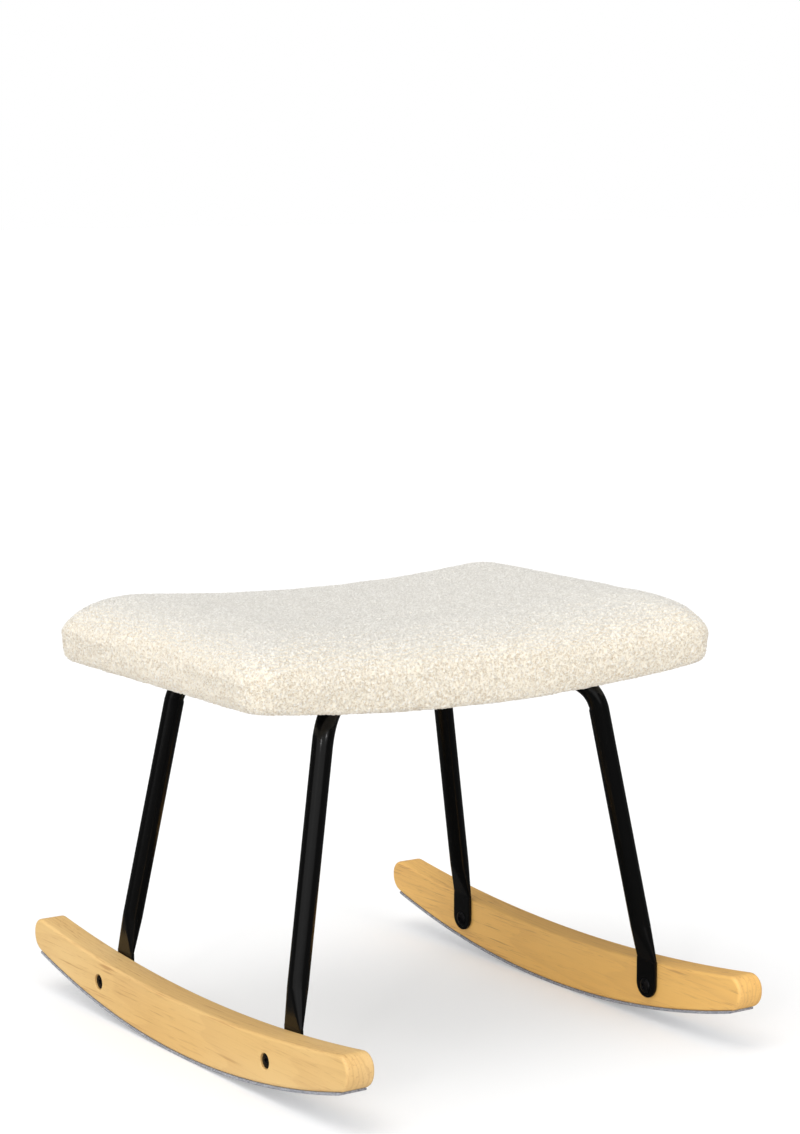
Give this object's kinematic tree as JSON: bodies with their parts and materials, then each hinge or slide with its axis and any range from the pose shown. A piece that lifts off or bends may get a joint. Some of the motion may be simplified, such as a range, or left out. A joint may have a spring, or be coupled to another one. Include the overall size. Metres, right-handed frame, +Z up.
{
  "type": "rocking footstool",
  "caption": "Low padded footstool on two curved wooden rockers, joined by a crossed steel tube frame that is bolted inside the rockers.",
  "frame": {"origin": "on the floor, under the middle of the stool, where the box round the stool has the middle of its base", "axes": "+X from the left rocker to the right one as seen from the front, +Y along the rockers to the back, +Z up"},
  "size_m": [0.594, 0.656, 0.4738],
  "materials": {
    "rocker_wood": "pale solid hardwood, clear satin lacquer",
    "felt": "blue grey needle felt with pale flecks",
    "frame_black": "black powder coat, satin",
    "black_bolts": "blackened steel, satin",
    "zinc_steel": "zinc plated steel",
    "black_plastic": "moulded black nylon, matte",
    "plywood": "raw bent birch plywood",
    "foam": "cut seat foam, open cells",
    "looped_fabric": "cream looped pile fabric",
    "dust_cloth": "thin black non-woven cloth"
  },
  "bodies": {
    "root": {"rocker_left": "rocker_wood", "rocker_right": "rocker_wood", "felt_strip_left": "felt", "felt_strip_right": "felt", "frame_long_tube": "frame_black", "frame_short_tube_front": "frame_black", "frame_short_tube_back": "frame_black", "rocker_bolts_left": "black_bolts", "rocker_bolts_right": "black_bolts", "sleeve_nuts_left": "black_bolts", "sleeve_nuts_right": "black_bolts", "seat_board": "plywood", "saddle_spacers": "black_plastic", "seat_bolts": "black_bolts", "seat_bolt_washers": "zinc_steel", "seat_tee_nuts": "zinc_steel", "foam_pad": "foam", "fabric_cover": "looped_fabric", "dust_cover": "dust_cloth", "dust_cover_staples": "zinc_steel"}
  },
  "joints": []
}
